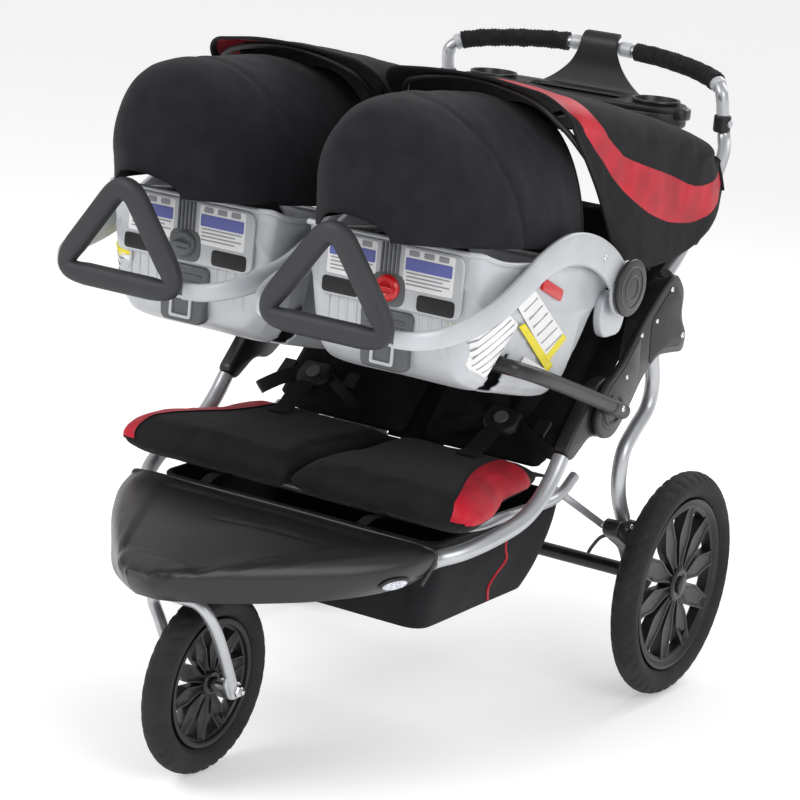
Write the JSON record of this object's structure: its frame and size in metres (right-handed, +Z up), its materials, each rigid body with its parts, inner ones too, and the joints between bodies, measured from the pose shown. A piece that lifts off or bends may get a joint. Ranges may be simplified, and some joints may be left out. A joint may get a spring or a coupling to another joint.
{
  "type": "jogging stroller",
  "caption": "Side-by-side jogging stroller with spoked air tyres, swivelling front fork, forward-folding frame, canopies, parent tray and clip-on infant carriers.",
  "frame": {"origin": "middle of the footprint, on the floor", "axes": "+Z up, -Y towards the front wheel, +X towards the stroller's left"},
  "size_m": [0.7732, 1.3257, 1.1058],
  "materials": {
    "silver_tube": "satin powder-coated silver",
    "black_tube": "satin black",
    "black_plastic": "fine-grained moulded black",
    "silver_plastic": "satin silver-grey moulding",
    "red_plastic": "glossy red",
    "black_fabric": "woven black polyester",
    "foam": "soft foam",
    "tyre": "matt black rubber",
    "steel": "bright plated"
  },
  "bodies": {
    "front_frame": {"frame_tube_left": "silver_tube", "frame_tube_right": "silver_tube", "footrest": "black_plastic", "steering_collar": "black_plastic", "hinge_socket_left": "black_plastic", "hinge_socket_right": "black_plastic", "seat_tube": "silver_tube", "seat_pad": "black_fabric", "storage_basket": "black_fabric"},
    "swivel_lock": {"swivel_lock": "black_plastic"},
    "fork": {"front_fork": "silver_tube", "front_axle": "steel"},
    "front_wheel": {"front_tyre": "tyre", "front_rim": "black_plastic"},
    "handle_frame": {"hinge_bracket_left": "black_plastic", "hinge_bracket_right": "black_plastic", "handle_tube_left": "silver_tube", "handle_tube_right": "silver_tube", "handlebar": "silver_tube", "foam_grip_left": "foam", "foam_grip_right": "foam", "parent_tray": "black_plastic", "seat_back_left": "black_fabric", "seat_back_right": "black_fabric", "canopy_hoop_left": "black_plastic", "canopy_hoop_right": "black_plastic"},
    "rear_legs": {"rear_leg_left": "silver_tube", "rear_leg_right": "silver_tube", "wheel_bracket_left": "black_plastic", "wheel_bracket_right": "black_plastic", "rear_axle": "black_tube", "brake_cable": "black_plastic"},
    "brake_pedal": {"brake_pedal": "black_plastic"},
    "side_links": {"side_link_left": "silver_tube", "side_link_right": "silver_tube"},
    "carrier_bar": {"carrier_bar": "black_tube"},
    "fold_trigger_left": {"fold_trigger_left": "black_plastic"},
    "rear_wheel_left": {"rear_left_tyre": "tyre", "rear_left_rim": "black_plastic"},
    "canopy_left": {"canopy_left": "black_fabric"},
    "canopy_bow_left": {"canopy_bow_left": "black_plastic"},
    "carrier_left": {"carrier_shell_left": "silver_plastic", "carrier_hood_left": "black_fabric"},
    "hood_bow_left": {"hood_bow_left": "black_plastic"},
    "carrier_handle_left": {"carrier_handle_left": "silver_plastic", "carrier_grip_left": "black_plastic"},
    "handle_button_left": {"handle_button_left": "black_plastic"},
    "carrier_release_left": {"carrier_release_left": "red_plastic"},
    "fold_trigger_right": {"fold_trigger_right": "black_plastic"},
    "rear_wheel_right": {"rear_right_tyre": "tyre", "rear_right_rim": "black_plastic"},
    "canopy_right": {"canopy_right": "black_fabric"},
    "canopy_bow_right": {"canopy_bow_right": "black_plastic"},
    "carrier_right": {"carrier_shell_right": "silver_plastic", "carrier_hood_right": "black_fabric"},
    "hood_bow_right": {"hood_bow_right": "black_plastic"},
    "carrier_handle_right": {"carrier_handle_right": "silver_plastic", "carrier_grip_right": "black_plastic"},
    "handle_button_right": {"handle_button_right": "black_plastic"},
    "carrier_release_right": {"carrier_release_right": "red_plastic"}
  },
  "joints": [
    {"name": "frame_fold", "type": "hinge", "parent": "front_frame", "child": "handle_frame", "pos_m": [0, 0.1278, 0.565], "axis": [1, 0, 0], "range_deg": [0, 125], "deforming": ["canopy_left", "canopy_right"]},
    {"name": "rear_leg_fold", "type": "hinge", "parent": "handle_frame", "child": "rear_legs", "pos_m": [0, 0.3598, 0.642], "axis": [1, 0, 0], "range_deg": [-48, 0]},
    {"name": "side_link_fold", "type": "hinge", "parent": "front_frame", "child": "side_links", "pos_m": [0, 0.1158, 0.41], "axis": [1, 0, 0], "range_deg": [0, 80]},
    {"name": "carrier_bar_off", "type": "slide", "parent": "front_frame", "child": "carrier_bar", "axis": [0, -0.9962, 0.0872], "range_m": [0, 1.76]},
    {"name": "fork_swivel", "type": "hinge", "parent": "front_frame", "child": "fork", "pos_m": [0, -0.5522, 0.306], "axis": [0, 0, 1], "continuous": true},
    {"name": "front_wheel_spin", "type": "hinge", "parent": "fork", "child": "front_wheel", "pos_m": [0, -0.4622, 0.149], "axis": [1, 0, 0], "continuous": true},
    {"name": "swivel_lock_press", "type": "slide", "parent": "front_frame", "child": "swivel_lock", "axis": [0, 0, -1], "range_m": [0, 0.006], "stiffness_N_per_m": 400, "springref_m": -0.002},
    {"name": "brake_pedal_tilt", "type": "hinge", "parent": "rear_legs", "child": "brake_pedal", "pos_m": [0, 0.4303, 0.2], "axis": [1, 0, 0], "range_deg": [-20, 0]},
    {"name": "rear_wheel_left_spin", "type": "hinge", "parent": "rear_legs", "child": "rear_wheel_left", "pos_m": [0.362, 0.4303, 0.2], "axis": [1, 0, 0], "continuous": true},
    {"name": "fold_trigger_left_pull", "type": "slide", "parent": "handle_frame", "child": "fold_trigger_left", "axis": [0, 0.7907, 0.6122], "range_m": [0, 0.012], "stiffness_N_per_m": 400, "springref_m": -0.002},
    {"name": "canopy_left_fold", "type": "hinge", "parent": "handle_frame", "child": "canopy_left", "pos_m": [0, 0.2998, 0.768], "axis": [1, 0, 0], "range_deg": [-76, 0]},
    {"name": "canopy_bow_left_tilt", "type": "hinge", "parent": "canopy_left", "child": "canopy_bow_left", "pos_m": [0, 0.2998, 0.768], "axis": [1, 0, 0], "range_deg": [-40, 0], "deforming": ["canopy_left"]},
    {"name": "carrier_left_lift", "type": "slide", "parent": "carrier_bar", "child": "carrier_left", "axis": [0, -0.6392, 0.769], "range_m": [0, 0.3]},
    {"name": "hood_left_fold", "type": "hinge", "parent": "carrier_left", "child": "hood_bow_left", "pos_m": [0.189, -0.0322, 0.82], "axis": [1, 0, 0], "range_deg": [0, 50], "deforming": ["carrier_hood_left"]},
    {"name": "carrier_handle_left_tilt", "type": "hinge", "parent": "carrier_left", "child": "carrier_handle_left", "pos_m": [0.189, 0.0958, 0.776], "axis": [1, 0, 0], "range_deg": [-70, 0], "deforming": ["carrier_hood_left"]},
    {"name": "handle_button_left_press", "type": "slide", "parent": "carrier_handle_left", "child": "handle_button_left", "axis": [-1, 0, 0], "range_m": [0, 0.003], "stiffness_N_per_m": 400, "springref_m": -0.002},
    {"name": "carrier_release_left_pull", "type": "slide", "parent": "carrier_left", "child": "carrier_release_left", "axis": [0, 0, 1], "range_m": [0, 0.008], "stiffness_N_per_m": 400, "springref_m": -0.002},
    {"name": "rear_wheel_right_spin", "type": "hinge", "parent": "rear_legs", "child": "rear_wheel_right", "pos_m": [-0.362, 0.4303, 0.2], "axis": [1, 0, 0], "continuous": true},
    {"name": "fold_trigger_right_pull", "type": "slide", "parent": "handle_frame", "child": "fold_trigger_right", "axis": [0, 0.7907, 0.6122], "range_m": [0, 0.012], "stiffness_N_per_m": 400, "springref_m": -0.002},
    {"name": "canopy_right_fold", "type": "hinge", "parent": "handle_frame", "child": "canopy_right", "pos_m": [0, 0.2998, 0.768], "axis": [1, 0, 0], "range_deg": [-76, 0]},
    {"name": "canopy_bow_right_tilt", "type": "hinge", "parent": "canopy_right", "child": "canopy_bow_right", "pos_m": [0, 0.2998, 0.768], "axis": [1, 0, 0], "range_deg": [-40, 0], "deforming": ["canopy_right"]},
    {"name": "carrier_right_lift", "type": "slide", "parent": "carrier_bar", "child": "carrier_right", "axis": [0, -0.6392, 0.769], "range_m": [0, 0.3]},
    {"name": "hood_right_fold", "type": "hinge", "parent": "carrier_right", "child": "hood_bow_right", "pos_m": [-0.189, -0.0322, 0.82], "axis": [1, 0, 0], "range_deg": [0, 50], "deforming": ["carrier_hood_right"]},
    {"name": "carrier_handle_right_tilt", "type": "hinge", "parent": "carrier_right", "child": "carrier_handle_right", "pos_m": [-0.189, 0.0958, 0.776], "axis": [1, 0, 0], "range_deg": [-70, 0], "deforming": ["carrier_hood_right"]},
    {"name": "handle_button_right_press", "type": "slide", "parent": "carrier_handle_right", "child": "handle_button_right", "axis": [1, 0, 0], "range_m": [0, 0.003], "stiffness_N_per_m": 400, "springref_m": -0.002},
    {"name": "carrier_release_right_pull", "type": "slide", "parent": "carrier_right", "child": "carrier_release_right", "axis": [0, 0, 1], "range_m": [0, 0.008], "stiffness_N_per_m": 400, "springref_m": -0.002}
  ],
  "couplings": [
    {"joint": "rear_leg_fold", "follows": "frame_fold", "ratio": -0.379},
    {"joint": "side_link_fold", "follows": "frame_fold", "ratio": 0.634},
    {"joint": "carrier_bar_off", "follows": "frame_fold", "m_per_rad": 0.8},
    {"joint": "canopy_left_fold", "follows": "frame_fold", "ratio": -0.6},
    {"joint": "canopy_right_fold", "follows": "frame_fold", "ratio": -0.6}
  ]
}
